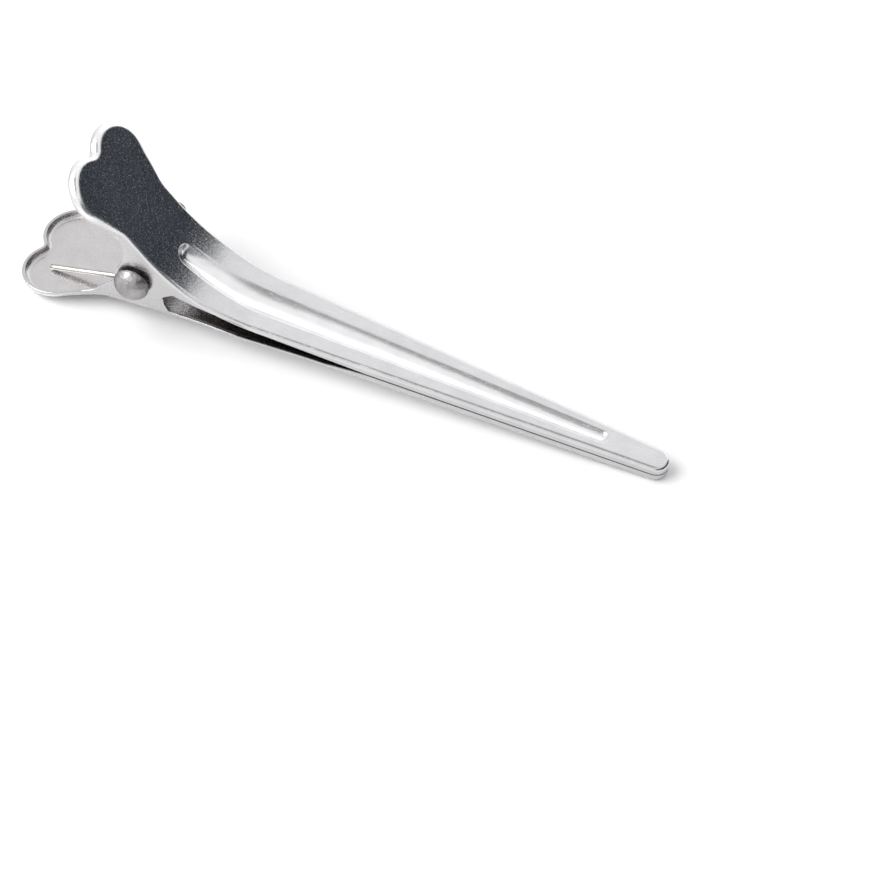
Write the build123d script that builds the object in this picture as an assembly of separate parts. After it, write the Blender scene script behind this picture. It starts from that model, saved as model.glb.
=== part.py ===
from build123d import *
import os
from math import sin, cos, tan, asin, acos, atan2, radians, degrees, hypot, pi

# Sectioning clip: two stamped aluminium halves that cross on a hollow rivet, with a torsion
# spring coiled round the rivet that holds the long jaws shut.
# Lengths are in millimetres and angles in degrees. While a half is being made the pivot axis
# is the Y axis through the origin, +X runs to the jaw tips and +Z is that half's outer side.

# ---- sheet and jaws ----
SHEET = 0.5                  # thickness of the stamped sheet
TIP_REACH = 78.3             # pivot axis to the end of the jaws
TIP_RADIUS = 2.0             # half round end of a jaw
JAW_WIDTH = 11.0             # width of a jaw where it meets the bend
JAW_HEIGHT = 1.34            # outer face of a shut jaw to the plane where the jaws meet
MEET_DROP = 2.0              # plane where the jaws meet, below the pivot axis
JAW_GAP = 0.04               # daylight left between the two flange edges of the shut jaws
PART_REACH = 34.7            # distance from the pivot where the flange edges begin to part
FLANGE_BEND = 0.75           # depth of a flange where the bend begins

# ---- bends and thumb pieces ----
UPPER_CORNER = 8.6           # pivot axis to the corner of the upper bend, along X
UPPER_ANGLE = 41.7
UPPER_BEND_R = 26.0
UPPER_THUMB = 25.9           # corner of the bend to the end of the lobes
UPPER_NECK = 13.6            # corner of the bend to where the lobes begin to spread
LOWER_CORNER = 9.9
LOWER_ANGLE = 11.5
LOWER_BEND_R = 240.0
LOWER_THUMB = 27.2
LOWER_NECK = 14.6
LOBE_RADIUS = 4.9
LOBE_OFFSET = 3.6            # centre of a lobe, either side of the middle line
NOTCH_RADIUS = 0.9           # rounding between the two lobes
NECK_RADIUS = 5.0            # rounding where the lobes begin to spread
RIM_DEPTH = 1.4              # depth of the turned-in rim round a thumb piece

# ---- pressed channel in each jaw ----
CHANNEL_DEPTH = 0.55
CHANNEL_TIP_REACH = 69.1     # end of the channel near the tip, from the pivot axis
CHANNEL_TIP_WIDTH = 2.2
CHANNEL_WIDE_REACH = 16.0    # where the channel is widest
CHANNEL_WIDTH = 4.5
CHANNEL_REAR_REACH = 3.2     # end of the channel on the bend
CHANNEL_REAR_WIDTH = 3.4

# ---- ears, rivet and their fits ----
EAR_SPAN = 11.8              # outside the upper ears
EAR_PLAY = 0.15              # between an upper ear and the lower ear inside it
EAR_RADIUS = 2.9             # rounded end of an ear about the rivet
EAR_FRONT = 4.3              # front corner of an ear, ahead of the pivot axis
UPPER_CROTCH = 6.2           # where an upper ear's front edge meets its flange, ahead of the axis
UPPER_CROTCH_RISE = 1.6      # that corner above the flange edge of the upper half's straight jaw
LOWER_CROTCH = 5.4           # where a lower ear's front edge meets its flange, ahead of the axis
LOWER_CROTCH_DROP = 0.9      # that corner below the outer face of the lower half's straight jaw
UPPER_EAR_REAR = 1.7         # rear edge of an upper ear, behind the pivot axis
UPPER_EAR_FOOT = 2.4         # the same edge where it reaches the thumb piece
LOWER_EAR_FOOT = 5.2
EAR_ROUND = 0.8              # rounding of the ears' corners
EAR_RUN_ON = 60.0            # below X, where an upper ear's front edge runs onto its round end
EAR_ROOT = 8.0               # above the pivot axis, where an upper ear reaches its full width
PLAN_STEP = 0.5              # ahead of the bend's corner, where the jaw's sides step out to the ears
RIVET_RADIUS = 1.36          # shank, where it runs in the ears
RIVET_PLAY = 0.06            # round the rivet in each ear
HEAD_RADIUS = 2.6
HEAD_HEIGHT = 1.7
HEAD_LIP = 0.35              # straight edge under the dome
HEAD_STANDOFF = 0.45         # between the head and the ear
TAIL_PROUD = 3.7             # tail beyond the far ear
TAIL_RADIUS = 1.3            # tail, drawn in a little from the shank
TAIL_TAPER = 0.6             # length over which it draws in, from the far ear
TAIL_BORE_RADIUS = 0.8
TAIL_BORE_DEPTH = 3.4
TAIL_EDGE = 0.18             # rounded mouth of the tail

# ---- torsion spring ----
WIRE_RADIUS = 0.4
COIL_PLAY = 0.41             # between the rivet and the inside of the coil
COIL_TURNS = 5               # whole turns, before the part turn between the two legs
LEG_SPREAD = 3.2             # each leg from the middle line
LEG_REACH = 14.9             # legs' ends from the pivot axis
LEG_TOUCH = 0.02             # daylight between a leg's end and the sheet it bears on
KNUCKLE = 0.012              # how far the wire swells where it bends from the coil to a leg

# ---- figures worked out from those above ----
MARGIN = 6.0                 # how far cutting shapes run past the metal
TALL = 2 * TIP_REACH         # cutting shapes that have to clear the whole part
UPPER = dict(
    meet=-MEET_DROP, corner=UPPER_CORNER, angle=UPPER_ANGLE, bend=UPPER_BEND_R, thumb=UPPER_THUMB,
    neck=UPPER_NECK, ear_out=EAR_SPAN / 2)
LOWER = dict(
    meet=MEET_DROP, corner=LOWER_CORNER, angle=LOWER_ANGLE, bend=LOWER_BEND_R, thumb=LOWER_THUMB,
    neck=LOWER_NECK, ear_out=EAR_SPAN / 2 - SHEET - EAR_PLAY)
EAR_TOP = EAR_ROOT + EAR_SPAN    # ears' side views run this high, well into the thumb pieces
COIL_RADIUS = RIVET_RADIUS + COIL_PLAY + WIRE_RADIUS


def outer_z(half):
    """Height of the outer face of a shut jaw."""
    return half["meet"] + JAW_HEIGHT


def along_thumb(half, distance, depth):
    """Point at a distance back from the bend's corner, at a depth under the outer face."""
    a = radians(half["angle"])
    x = half["corner"] - distance * cos(a) - depth * sin(a)
    z = outer_z(half) + distance * sin(a) - depth * cos(a)
    return (x, z)


def side_path(half, depth):
    """Ends and bend of the line that lies at a depth under the outer face."""
    a = radians(half["angle"])
    run = half["bend"] * tan(a / 2)
    centre = (half["corner"] + run, outer_z(half) + half["bend"])
    r = half["bend"] + depth
    front = (TIP_REACH + MARGIN, outer_z(half) - depth)
    start = (centre[0], centre[1] - r)
    middle = (centre[0] - r * sin(a / 2), centre[1] - r * cos(a / 2))
    stop = (centre[0] - r * sin(a), centre[1] - r * cos(a))
    rear = along_thumb(half, half["thumb"] + MARGIN, depth)
    return front, start, middle, stop, rear


def band(half, depth_a, depth_b):
    """Side view of a layer of the half, from one depth to another, as wide as the part."""
    a = side_path(half, depth_a)
    b = side_path(half, depth_b)
    with BuildSketch(Plane.XZ) as side:
        with BuildLine():
            Line(a[0], a[1])
            ThreePointArc(a[1], a[2], a[3])
            Line(a[3], a[4])
            Line(a[4], b[4])
            Line(b[4], b[3])
            ThreePointArc(b[3], b[2], b[1])
            Line(b[1], b[0])
            Line(b[0], a[0])
        make_face()
    return extrude(side.sketch, amount=JAW_WIDTH + LOBE_RADIUS, both=True)


def side_plate(points, round_at=None):
    """Side view polygon, joined to a round end about the pivot where one is asked for."""
    with BuildSketch(Plane.XZ) as side:
        with BuildLine():
            Polyline(*points, close=True)
        make_face()
        if round_at:
            Circle(round_at)
    return side.sketch


def rounded(sketch, corners, radius):
    """The same side view with the named corners rounded."""
    near = [v for v in sketch.vertices() if min(hypot(v.X - x, v.Z - z) for x, z in corners) < SHEET / 5]
    return fillet(near, radius)


def jaw_outline(half):
    """Plan of the jaw: half round tip, straight tapering sides, then the ears' full width."""
    centre_x = TIP_REACH - TIP_RADIUS
    root_x = half["corner"] + MARGIN
    root_y = JAW_WIDTH / 2
    span = hypot(root_x - centre_x, root_y)
    bearing = atan2(root_y, root_x - centre_x) - acos(TIP_RADIUS / span)
    touch = (centre_x + TIP_RADIUS * cos(bearing), TIP_RADIUS * sin(bearing))
    ear_y = half["ear_out"]
    step_x = half["corner"] + PLAN_STEP
    with BuildSketch() as plan:
        with Locations((centre_x, 0)):
            Circle(TIP_RADIUS)
        with BuildLine():
            Polyline((centre_x, 0), touch, (root_x, root_y), (step_x, ear_y), (-MARGIN, ear_y),
                     (-MARGIN, -ear_y), (step_x, -ear_y), (root_x, -root_y), (touch[0], -touch[1]),
                     close=True)
        make_face()
    return plan.sketch


def thumb_outline(half):
    """Plan of the thumb piece, flat, with X measured back from the bend's corner."""
    lobe_x = half["thumb"] - LOBE_RADIUS
    neck_x = half["neck"]
    neck_y = half["ear_out"]
    span = hypot(lobe_x - neck_x, LOBE_OFFSET - neck_y)
    lean = atan2(LOBE_OFFSET - neck_y, lobe_x - neck_x)
    bearing = lean + pi - acos(LOBE_RADIUS / span)
    touch = (lobe_x + LOBE_RADIUS * cos(bearing), LOBE_OFFSET + LOBE_RADIUS * sin(bearing))
    side = [(-MARGIN, neck_y), (neck_x, neck_y), touch, (lobe_x, LOBE_OFFSET)]
    meet_x = lobe_x + (LOBE_RADIUS ** 2 - LOBE_OFFSET ** 2) ** 0.5
    with BuildSketch() as plan:
        with BuildLine():
            Polyline(*side, *[(x, -y) for x, y in reversed(side)], close=True)
        make_face()
        with Locations((lobe_x, LOBE_OFFSET), (lobe_x, -LOBE_OFFSET)):
            Circle(LOBE_RADIUS)
        notch = [v for v in plan.vertices() if hypot(v.X - meet_x, v.Y) < SHEET / 5]
        fillet(notch, NOTCH_RADIUS)
        necks = [v for v in plan.vertices() if hypot(v.X - neck_x, abs(v.Y) - neck_y) < SHEET / 5]
        fillet(necks, NECK_RADIUS)
    return plan.sketch


def thumb_plane(half):
    """Plane of the outer face of a thumb piece, with X running back from the bend's corner."""
    a = radians(half["angle"])
    return Plane(origin=(half["corner"], 0, outer_z(half)), x_dir=(-cos(a), 0, sin(a)),
                 z_dir=(sin(a), 0, cos(a)))


def bend_halfspace(half):
    """Big block on the jaw's side of the plane that halves the bend."""
    a = radians(half["angle"]) / 2
    plane = Plane(origin=(half["corner"], 0, outer_z(half)), x_dir=(0, 1, 0), z_dir=(cos(a), 0, -sin(a)))
    return extrude(plane * Rectangle(2 * TALL, 2 * TALL), amount=2 * TALL)


def plan_prism(half, jaw, thumb):
    """Straight-walled block with the jaw's plan in front of the bend and the thumb's behind it."""
    front_block = bend_halfspace(half)
    front = extrude(jaw, amount=TALL, both=True) & front_block
    rear = extrude(thumb_plane(half) * thumb, amount=TALL, both=True) - front_block
    return front, rear


def capsule(front_x, front_r, rear_x, rear_r):
    """Plan of two discs on the middle line and the straight sides that join them."""
    lean = acos((rear_r - front_r) / (front_x - rear_x))
    corners = [(x + r * cos(lean), r * sin(lean)) for x, r in ((front_x, front_r), (rear_x, rear_r))]
    with BuildSketch() as plan:
        with BuildLine():
            Polyline(*corners, *[(x, -y) for x, y in reversed(corners)], close=True)
        make_face()
        for x, r in ((front_x, front_r), (rear_x, rear_r)):
            with Locations((x, 0)):
                Circle(r)
    return plan.sketch


def channel_outline(extra):
    """Plan of the pressed channel, larger all round by an extra amount."""
    tip_r = CHANNEL_TIP_WIDTH / 2
    wide_r = CHANNEL_WIDTH / 2
    rear_r = CHANNEL_REAR_WIDTH / 2
    tip_x = CHANNEL_TIP_REACH - tip_r
    rear_x = CHANNEL_REAR_REACH + rear_r
    front = capsule(tip_x, tip_r + extra, CHANNEL_WIDE_REACH, wide_r + extra)
    rear = capsule(CHANNEL_WIDE_REACH, wide_r + extra, rear_x, rear_r + extra)
    return front + rear


def stamped_half(half, ear_side):
    """One half: web, turned-in flanges and rim, pressed channel, and two pierced ears."""
    jaw = jaw_outline(half)
    thumb = thumb_outline(half)
    front, rear = plan_prism(half, jaw, thumb)
    front_in, rear_in = plan_prism(half, offset(jaw, -SHEET), offset(thumb, -SHEET))
    front_ring = front - front_in
    rear_ring = rear - rear_in
    web_band = band(half, 0, SHEET)
    body = (front & web_band) + (rear & web_band)
    body = body + (rear_ring & band(half, 0, RIM_DEPTH))
    run_start = side_path(half, 0)[1][0]
    body = body + (front_ring & band(half, 0, FLANGE_BEND))
    flange_side = side_plate([
        (TIP_REACH + MARGIN, half["meet"] + JAW_GAP / 2),
        (PART_REACH, half["meet"] + JAW_GAP / 2),
        (min(run_start, PART_REACH - MARGIN), outer_z(half) - FLANGE_BEND),
        (min(run_start, PART_REACH - MARGIN), outer_z(half)),
        (TIP_REACH + MARGIN, outer_z(half))])
    body = body + (front_ring & extrude(flange_side, amount=JAW_WIDTH, both=True) & band(half, 0, JAW_HEIGHT))
    ear_block = extrude(ear_side, amount=JAW_WIDTH, both=True) & band(half, SHEET / 2, TALL)
    body = body + (front_ring & ear_block)
    body = body + (rear_ring & ear_block)
    channel_shell = extrude(channel_outline(SHEET), amount=TALL, both=True)
    channel_void = extrude(channel_outline(0), amount=TALL, both=True)
    body = body + (channel_shell & band(half, 0, CHANNEL_DEPTH + SHEET))
    body = body - (channel_void & band(half, -SHEET, CHANNEL_DEPTH))
    bore = Rot(90, 0, 0) * Cylinder(RIVET_RADIUS + RIVET_PLAY, TALL)
    return body - bore


def upper_ear():
    """Side view of an upper ear: its front edge is the flange's, and its end is round."""
    a = radians(EAR_RUN_ON)
    start_x = side_path(UPPER, 0)[1][0]
    edge_z = outer_z(UPPER) - FLANGE_BEND
    crotch = (UPPER_CROTCH, edge_z + UPPER_CROTCH_RISE)
    front = (EAR_FRONT, -MEET_DROP)
    shoulder = (-UPPER_EAR_REAR, EAR_RADIUS)
    ear = side_plate([
        (start_x, edge_z), crotch, front,
        (EAR_RADIUS * cos(a), -EAR_RADIUS * sin(a)), (0, -EAR_RADIUS / 2),
        (-EAR_RADIUS / 2, 0), shoulder,
        (-UPPER_EAR_FOOT, EAR_ROOT), (-UPPER_EAR_FOOT, EAR_TOP),
        (start_x, EAR_TOP)], round_at=EAR_RADIUS)
    return rounded(ear, [crotch, front], EAR_ROUND)


def lower_ear():
    """Side view of a lower ear, in the lower half's own upside-down frame."""
    edge_x, edge_z = LOWER_CROTCH + 2 * EAR_ROUND, outer_z(LOWER) + LOWER_CROTCH_DROP
    crotch = (LOWER_CROTCH, edge_z)
    front = (EAR_FRONT, MEET_DROP)
    knee = (-EAR_RADIUS - EAR_ROUND / 2, EAR_RADIUS)
    ear = side_plate([
        (edge_x, edge_z), crotch, front, (EAR_RADIUS, 0), (0, -EAR_RADIUS / 2), (-EAR_RADIUS, 0),
        knee, (-LOWER_EAR_FOOT, outer_z(LOWER) + EAR_ROUND), (-LOWER_EAR_FOOT, EAR_TOP),
        (edge_x, EAR_TOP)], round_at=EAR_RADIUS)
    return rounded(ear, [crotch, front, knee], EAR_ROUND)


def rivet():
    """Semi-tubular rivet: low dome on one side and a hollow, unset tail on the other."""
    head_y = EAR_SPAN / 2 + HEAD_STANDOFF
    taper_y = EAR_SPAN / 2
    tail_y = taper_y + TAIL_PROUD
    with BuildSketch() as section:
        with BuildLine():
            Line((0, -head_y - HEAD_LIP - HEAD_HEIGHT), (0, tail_y - TAIL_BORE_DEPTH))
            Line((0, tail_y - TAIL_BORE_DEPTH), (TAIL_BORE_RADIUS, tail_y - TAIL_BORE_DEPTH))
            Line((TAIL_BORE_RADIUS, tail_y - TAIL_BORE_DEPTH), (TAIL_BORE_RADIUS, tail_y))
            Line((TAIL_BORE_RADIUS, tail_y), (TAIL_RADIUS - TAIL_EDGE, tail_y))
            Line((TAIL_RADIUS - TAIL_EDGE, tail_y), (TAIL_RADIUS, tail_y - TAIL_EDGE))
            Line((TAIL_RADIUS, tail_y - TAIL_EDGE), (TAIL_RADIUS, taper_y + TAIL_TAPER))
            Line((TAIL_RADIUS, taper_y + TAIL_TAPER), (RIVET_RADIUS, taper_y))
            Line((RIVET_RADIUS, taper_y), (RIVET_RADIUS, -head_y))
            Line((RIVET_RADIUS, -head_y), (HEAD_RADIUS, -head_y))
            Line((HEAD_RADIUS, -head_y), (HEAD_RADIUS, -head_y - HEAD_LIP))
            dome_r = (HEAD_RADIUS ** 2 + HEAD_HEIGHT ** 2) / (2 * HEAD_HEIGHT)
            RadiusArc((HEAD_RADIUS, -head_y - HEAD_LIP), (0, -head_y - HEAD_LIP - HEAD_HEIGHT), dome_r)
        make_face()
    return revolve(section.sketch, Axis.Y, 360)


def inner_point(half, reach, lift):
    """Point a lift inside the sheet of a thumb piece, at a reach from the pivot axis."""
    a = radians(half["angle"])
    depth = SHEET + lift
    centre_x = half["corner"] + half["bend"] * tan(a / 2)
    centre_z = outer_z(half) + half["bend"]
    r = half["bend"] + depth
    gap = hypot(centre_x, centre_z)
    along = (gap ** 2 + reach ** 2 - r ** 2) / (2 * gap)
    off = (reach ** 2 - along ** 2) ** 0.5
    ux, uz = centre_x / gap, centre_z / gap
    on_bend = (along * ux - off * uz, along * uz + off * ux)
    x0, z0 = along_thumb(half, 0, depth)
    foot = x0 * sin(a) + z0 * cos(a)
    slide = (reach ** 2 - foot ** 2) ** 0.5
    on_flat = (foot * sin(a) - slide * cos(a), foot * cos(a) + slide * sin(a))
    return on_flat if on_flat[0] < side_path(half, depth)[3][0] else on_bend


def spring():
    """Wire coil round the rivet, with one straight leg to each thumb piece."""
    lift = WIRE_RADIUS + LEG_TOUCH
    ends = []
    for sign, half in ((-1, LOWER), (1, UPPER)):
        x, z = inner_point(half, LEG_REACH, lift)
        far = hypot(x, z)
        bearing = atan2(sign * z, x) - sign * acos(COIL_RADIUS / far)
        ends.append((bearing, (x, sign * LEG_SPREAD, sign * z)))
    low, high = ends
    sweep_angle = COIL_TURNS * 360 + (degrees(high[0] - low[0]) % 360)
    pitch = 2 * LEG_SPREAD / (sweep_angle / 360)
    helix = Helix(pitch=pitch, height=2 * LEG_SPREAD, radius=COIL_RADIUS)
    turned = Location((0, -LEG_SPREAD, 0)) * Rot(-90, 0, 0) * Rot(0, 0, -degrees(low[0]))
    path = turned * helix
    start = path @ 0
    wire = sweep(Plane(origin=start, z_dir=path % 0) * Circle(WIRE_RADIUS), path=path)
    body = wire
    for bearing, tip in ends:
        foot = Vector(COIL_RADIUS * cos(bearing), tip[1], COIL_RADIUS * sin(bearing))
        run = Vector(*tip) - foot
        leg = extrude(Plane(origin=foot, z_dir=run) * Circle(WIRE_RADIUS), amount=run.length)
        knuckle = Pos(foot.X, foot.Y, foot.Z) * Sphere(WIRE_RADIUS + KNUCKLE)
        body = body + knuckle + leg
    return body


# ---- the halves in the clip's working frame, then the whole clip set down on its lower side ----
upper_half = stamped_half(UPPER, upper_ear())
lower_half = mirror(stamped_half(LOWER, lower_ear()), about=Plane.XY)
pieces = {
    "upper_half": upper_half,
    "lower_half": lower_half,
    "rivet": rivet(),
    "torsion_spring": spring(),
}

end_x, end_z = along_thumb(LOWER, LOWER_THUMB, 0)
tilt = degrees(atan2(end_z - outer_z(LOWER), TIP_REACH - end_x))
level = Rot(0, tilt, 0)
levelled = {name: level * piece for name, piece in pieces.items()}
boxes = [piece.bounding_box() for piece in levelled.values()]
mid_x = (min(b.min.X for b in boxes) + max(b.max.X for b in boxes)) / 2
mid_y = (min(b.min.Y for b in boxes) + max(b.max.Y for b in boxes)) / 2
floor_z = min(b.min.Z for b in boxes)
place = Pos(-mid_x, -mid_y, -floor_z)

os.makedirs("parts", exist_ok=True)
for name, piece in levelled.items():
    export_step(place * piece, "parts/" + name + ".step")
pivot_at = (-mid_x, -mid_y, -floor_z)
print("pivot axis", [round(v, 4) for v in pivot_at], "tilt", round(tilt, 4))
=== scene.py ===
from math import acos, asin, atan2, cos, hypot, pi, radians, sin, sqrt, tan

import bpy
import numpy as np
from mathutils import Matrix, Vector
from mathutils.geometry import delaunay_2d_cdt


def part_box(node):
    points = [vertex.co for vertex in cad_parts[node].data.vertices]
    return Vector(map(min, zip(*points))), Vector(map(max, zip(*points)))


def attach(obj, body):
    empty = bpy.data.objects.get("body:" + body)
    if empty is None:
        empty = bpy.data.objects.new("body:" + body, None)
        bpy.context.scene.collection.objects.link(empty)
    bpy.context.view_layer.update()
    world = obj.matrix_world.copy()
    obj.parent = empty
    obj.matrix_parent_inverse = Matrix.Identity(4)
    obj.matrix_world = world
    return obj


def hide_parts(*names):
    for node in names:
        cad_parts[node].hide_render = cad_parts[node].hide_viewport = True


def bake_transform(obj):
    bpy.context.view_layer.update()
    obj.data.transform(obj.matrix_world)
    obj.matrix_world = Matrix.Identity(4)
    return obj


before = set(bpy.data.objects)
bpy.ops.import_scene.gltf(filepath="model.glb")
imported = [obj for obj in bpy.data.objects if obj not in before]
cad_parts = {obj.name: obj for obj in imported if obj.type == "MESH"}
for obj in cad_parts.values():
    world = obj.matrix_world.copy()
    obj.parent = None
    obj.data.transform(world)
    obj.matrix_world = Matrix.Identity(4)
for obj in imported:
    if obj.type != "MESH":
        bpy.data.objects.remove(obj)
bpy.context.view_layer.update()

# The looks of a sectioning clip: two stamped aluminium halves, a hollow rivet and a torsion spring.
# Sizes are in millimetres and angles in degrees until a mesh is made. While a half is made its pivot
# axis is Y through the origin, +X runs to the jaw tips and +Z is that half's outer side.

# ---- sizes shared with the CAD part ----
SHEET = 0.5
TIP_REACH = 78.3
TIP_RADIUS = 2.0
JAW_WIDTH = 11.0
JAW_HEIGHT = 1.34
MEET_DROP = 2.0
JAW_GAP = 0.04
PART_REACH = 34.7
FLANGE_BEND = 0.75
LOBE_RADIUS = 4.9
LOBE_OFFSET = 3.6
NOTCH_RADIUS = 0.9
NECK_RADIUS = 5.0
RIM_DEPTH = 1.4
MARGIN = 6.0
EAR_SPAN = 11.8
EAR_PLAY = 0.15
EAR_RADIUS = 2.9
RIVET_RADIUS = 1.36
RIVET_PLAY = 0.06
HEAD_RADIUS = 2.6
HEAD_HEIGHT = 1.7
HEAD_LIP = 0.35
HEAD_STANDOFF = 0.45
TAIL_PROUD = 3.7
TAIL_RADIUS = 1.3
TAIL_TAPER = 0.6
TAIL_BORE_RADIUS = 0.8
TAIL_BORE_DEPTH = 3.4
WIRE_RADIUS = 0.4
COIL_RADIUS = 2.17
COIL_TURNS = 5
LEG_SPREAD = 3.2
LEG_REACH = 14.9
LEG_TOUCH = 0.02

# ---- the pressed channel, softer than in the CAD part ----
CHANNEL_DEPTH = 0.58
CHANNEL_PLUNGE = 0.55            # how much deeper the channel starts on the bend
CHANNEL_EASE = 0.35              # share of its depth that the channel loses along the jaw
CHANNEL_TIP = (68.0, 1.1)        # centre and radius of the channel's end near the tip
CHANNEL_WIDE = (16.0, 2.25)      # the same where it is widest
CHANNEL_REAR = (4.4, 1.75)       # the same for its end on the bend
CHANNEL_CREASES = (1.1, 0.98, 0.86, 0.74, 0.62, 0.5, 0.38, 0.25)    # mesh lines, as shares of its width
EASE_RISE = (4, 20)              # where it loses it: start and run ahead of the bend's corner
PLUNGE_RISE = (0.4, 6)           # start behind CHANNEL_REAR's centre and run over which the plunge ends
WAVE_COUNT = 7                   # faint waves left in the sheet by rolling and pressing
WAVE_SLOPE = 0.0045
WAVE_LENGTHS = (5, 16)

# ---- finish of the sheet's edges and bends, which the CAD part leaves square ----
JAW_ROUND = 0.62                 # outside radius along the sides of a jaw
THUMB_ROUND = 1.15               # outside radius of the turned-in rim of a thumb piece
ROUND_CHANGE = (13.5, 20.0)      # behind the bend's corner, where one becomes the other
CUT_ROUND = 0.12                 # broken edges of the cut sheet
RIM_RISE = (4, 6)                # start and run behind the corner, where the flange deepens to the rim
EAR_BEND = (1.2, 2.5)            # start and run below the outer face, where an ear leaves the flange's line

# ---- where the sheet's tones, painted shade and painted highlights change: start and run of each ----
GAP_SHADE_RISE = (-5, 6)            # ahead of the bend's corner, inside the jaw: painted shade of the gap between the jaws
INNER_THUMB_RISE = (3, 4)        # behind the corner, inside the thumb piece
CUT_SHADE_RISE = (2, 6)                # ahead of the corner, along the cut edge of the jaw: painted shade where the two jaws meet
CUT_SHADE_SHARE = 0.9
LOBE_HIGHLIGHT_RISE = (18, 3)              # behind the corner, on the rounded rim of the lobes, where a highlight is painted
RIM_HIGHLIGHT_START = (0, 0.35)          # by how squarely a point faces outward: a rounded edge, and the painted highlight on it, begins
RIM_HIGHLIGHT_END = (0.86, 0.12)         # the same where it ends
GROOVE_HIGHLIGHT_FALL = (0.9, 0.4)         # by the channel's share: end and run of the painted highlight on its floor
GROOVE_HIGHLIGHT_SHARE = 0.75
OUTSIDE = 0.3                    # a point that faces outward more than this is on the outer face
WALL_SHADE_RISE = (0, 0.5)             # by how squarely a point faces outward: from the painted shade on the walls to the web

# ---- fineness of the mesh ----
LOOP_STEP = 0.3                  # spacing of points along an edge
FILL_STEP = 0.5                  # spacing of points inside an area
BORDER_ROWS = (1, 0.966, 0.866, 0.707, 0.5, 0.259, 0)    # rows round a bend, by how far they face outward
BORDER_FLAT = 0.35               # one more row on the flat, beyond the bend
FLANGE_ROWS = 4
SAME_POINT = 0.05                # an ear's points this close to a flange's row are put on it
LATHE_STEPS = 96
WIRE_SIDES = 20
LEG_STEPS = 24
TURN_STEPS = 56

# ---- the two halves ----
# An ear's cut edge leaves its flange ear_front ahead of the bend's corner and joins the thumb piece's rim
# ear_rear behind it. On the way it passes the points ear_turn (x, z, rounding), an arc about the pivot
# axis over the bearings ear_arc, the point ear_back, and the rim's edge ear_foot behind the corner.
UPPER = dict(
    name="upper", sign=1, meet=-MEET_DROP, corner=8.6, angle=41.7, bend=26.0, thumb=25.9, neck=13.6,
    ear=EAR_SPAN / 2, seed=3, ear_front=9.6, ear_rear=15.4, ear_foot=14.1,
    ear_turn=[(5.9, 0.3, 0.7), (4.5, -0.9, 0.9), (4.2, -1.98 + CUT_ROUND, 0.6)],
    ear_arc=(-60, -215), ear_back=(-1.9 + CUT_ROUND, 4.2, 2.5))
LOWER = dict(
    name="lower", sign=-1, meet=MEET_DROP, corner=9.9, angle=11.5, bend=240.0, thumb=27.2, neck=14.6,
    ear=EAR_SPAN / 2 - SHEET - EAR_PLAY, seed=8, ear_front=6.0, ear_rear=17.6, ear_foot=15.6,
    ear_turn=[(5.5, 4.3, 0.6), (4.6, 3.2, 0.7), (4.25, 2.0, 0.7), (3.2, 0.9, 0.8)],
    ear_arc=(-5, -182), ear_back=(-3.0, 2.4, 2.5))

# ---- camera: the point it looks at, how it is turned, and its distance and lens ----
AIM = (15.88, -3.87, -5.58)
AZIMUTH = 16.2
ELEVATION = 50.01
ROLL = 7.24
DISTANCE = 705.8
LENS = 206.8


# ------------------------------------------------------------------ side view of a half
def outer_z(half):
    """Height of the outer face of a shut jaw."""
    return half["meet"] + JAW_HEIGHT


def bend_run(half):
    """Distance from the bend's corner to either end of the bend."""
    return half["bend"] * tan(radians(half["angle"]) / 2)


def slope_at(half, t):
    """Angle that the outer face leans at plan distance t ahead of the bend's corner."""
    a, run = radians(half["angle"]), bend_run(half)
    return a * np.clip((run - t) / (2 * run), 0, 1)


def profile(half, t, depth):
    """X, Z of a point at a depth under the outer face, t ahead of the bend's corner."""
    a, run, r = radians(half["angle"]), bend_run(half), half["bend"]
    lean = slope_at(half, t)
    x = half["corner"] + run - r * np.sin(lean)
    z = outer_z(half) + r - r * np.cos(lean)
    past = np.maximum(t - run, 0)
    back = np.maximum(-t - run, 0)
    x = x + past - back * cos(a)
    z = z + back * sin(a)
    return x - depth * np.sin(lean), z - depth * np.cos(lean)


def unprofile(half, x, z):
    """t and depth of points of the side view near the outer face, found by repeated correction."""
    tries, share = 40, 0.8
    t = x - half["corner"]
    depth = np.zeros_like(t)
    for _ in range(tries):
        fx, fz = profile(half, t, depth)
        lean = slope_at(half, t)
        dx, dz = x - fx, z - fz
        t = t + share * (dx * np.cos(lean) - dz * np.sin(lean))
        depth = depth - share * (dx * np.sin(lean) + dz * np.cos(lean))
    return t, depth


# ------------------------------------------------------------------ outlines
def arc(centre, radius, start, stop, steps):
    """Points round a circle from one angle to another, in radians."""
    return [(centre[0] + radius * cos(start + (stop - start) * i / steps),
             centre[1] + radius * sin(start + (stop - start) * i / steps)) for i in range(steps + 1)]


def rounded_path(points, steps=10):
    """A path through points (x, y, radius) with its corners rounded."""
    made = [points[0][:2]]
    for before, here, after in zip(points, points[1:], points[2:]):
        p, radius = np.array(here[:2], float), here[2]
        u = np.array(before[:2]) - p
        v = np.array(after[:2]) - p
        lu, lv = hypot(*u), hypot(*v)
        u, v = u / lu, v / lv
        turn = acos(np.clip(u @ v, -1, 1))
        if radius == 0 or turn > radians(178):
            made.append(tuple(p))
            continue
        run = min(radius / tan(turn / 2), 0.49 * lu, 0.49 * lv)
        a, b = p + u * run, p + v * run
        for i in range(steps + 1):
            s = i / steps
            made.append(tuple((1 - s) ** 2 * a + 2 * s * (1 - s) * p + s * s * b))
    made.append(points[-1][:2])
    return made


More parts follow.
